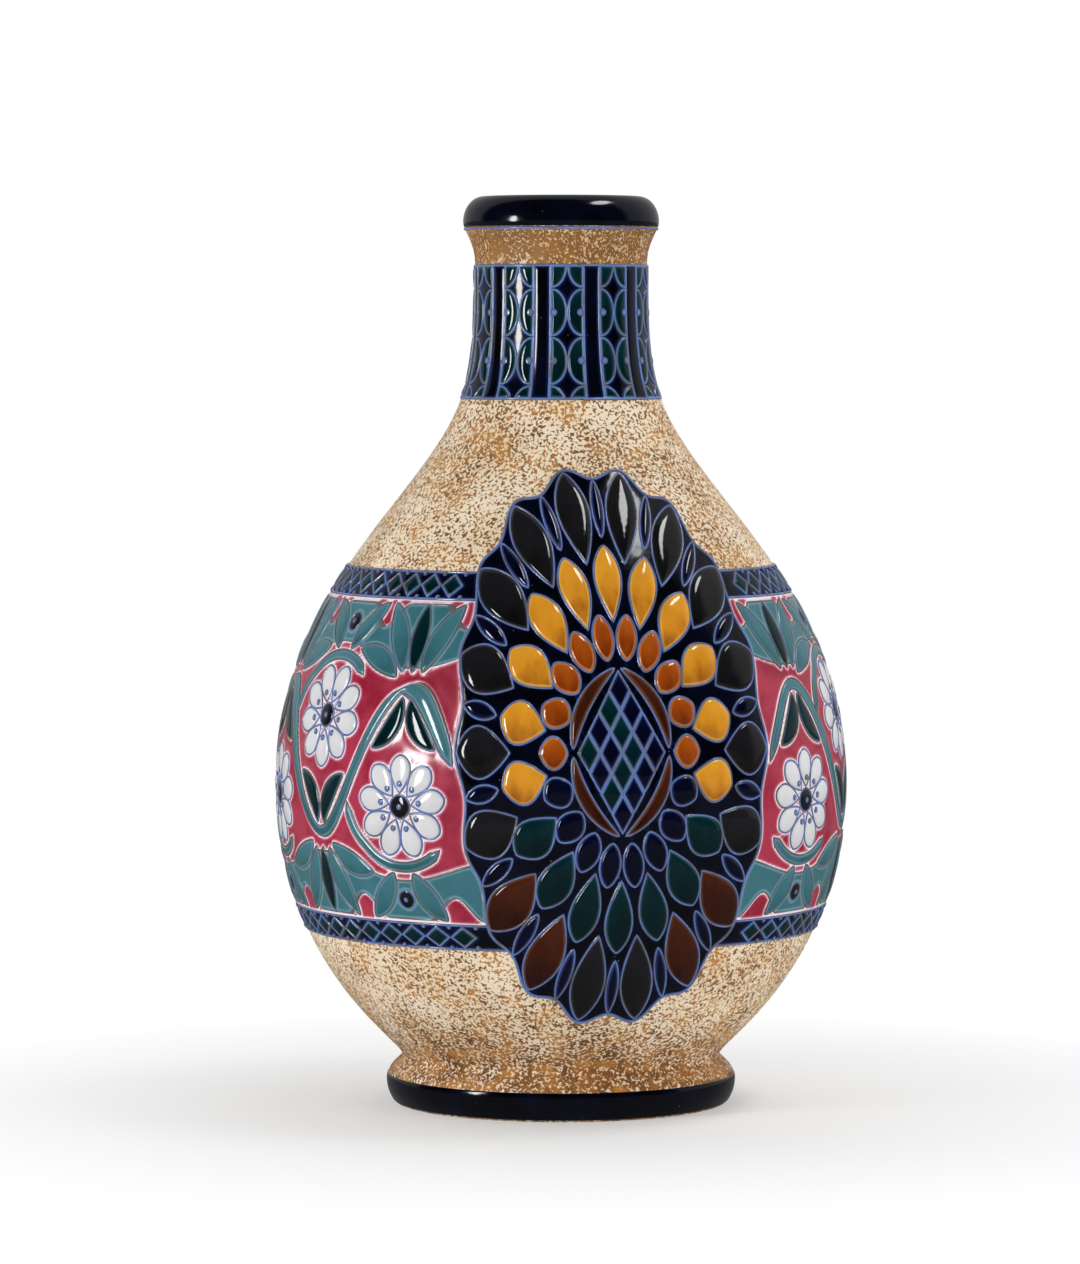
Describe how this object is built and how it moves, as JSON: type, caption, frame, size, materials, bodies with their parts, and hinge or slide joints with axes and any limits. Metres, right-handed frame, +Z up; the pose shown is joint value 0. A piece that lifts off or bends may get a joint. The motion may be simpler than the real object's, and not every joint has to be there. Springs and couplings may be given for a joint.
{
  "type": "floor vase",
  "caption": "Bottle-shaped earthenware floor vase with a rolled rim, patterned neck and wide belly carrying raised enamel ornament; stands on a ring foot and holds long stems.",
  "frame": {"origin": "middle of the foot's resting plane, under the axis of the vase", "axes": "+Z runs up the axis to the mouth; -Y is the front, and the rosette's middle is turned 12 degrees from it towards +X; +X is to the right of someone who looks at the front"},
  "size_m": [0.303, 0.3043, 0.48],
  "materials": {
    "clay": "matte, speckled",
    "liner_glaze": "satin",
    "cobalt_glaze": "gloss",
    "crimson_glaze": "gloss",
    "slip_blue": "satin",
    "green_enamel": "gloss",
    "teal_enamel": "gloss",
    "white_enamel": "gloss",
    "black_enamel": "gloss",
    "navy_enamel": "gloss",
    "rust_enamel": "gloss",
    "amber_enamel": "gloss",
    "brown_enamel": "gloss"
  },
  "bodies": {
    "root": {"clay_body": "clay", "inner_glaze": "liner_glaze", "rim_glaze": "cobalt_glaze", "foot_glaze": "cobalt_glaze", "neck_glaze": "cobalt_glaze", "upper_lattice_glaze": "cobalt_glaze", "frieze_glaze": "crimson_glaze", "lower_lattice_glaze": "cobalt_glaze", "border_lines": "slip_blue", "neck_uprights": "slip_blue", "neck_half_discs": "green_enamel", "neck_top_discs": "green_enamel", "neck_bottom_discs": "green_enamel", "upper_lozenges_enamel": "green_enamel", "lower_lozenges_enamel": "green_enamel", "vine_stem": "teal_enamel", "vine_scrolls": "teal_enamel", "vine_leaves": "teal_enamel", "vine_sepals": "green_enamel", "flower_petals": "white_enamel", "flower_hearts": "black_enamel", "berries": "black_enamel", "rosette_heart_navy": "navy_enamel", "rosette_heart_green": "green_enamel", "rosette_calyx": "brown_enamel", "rosette_rust_petals": "rust_enamel", "rosette_navy_petals": "navy_enamel", "rosette_amber_petals": "amber_enamel", "rosette_green_petals": "green_enamel", "rosette_black_petals": "black_enamel", "rosette_brown_petals": "brown_enamel", "rosette_rays": "navy_enamel"}
  },
  "joints": []
}
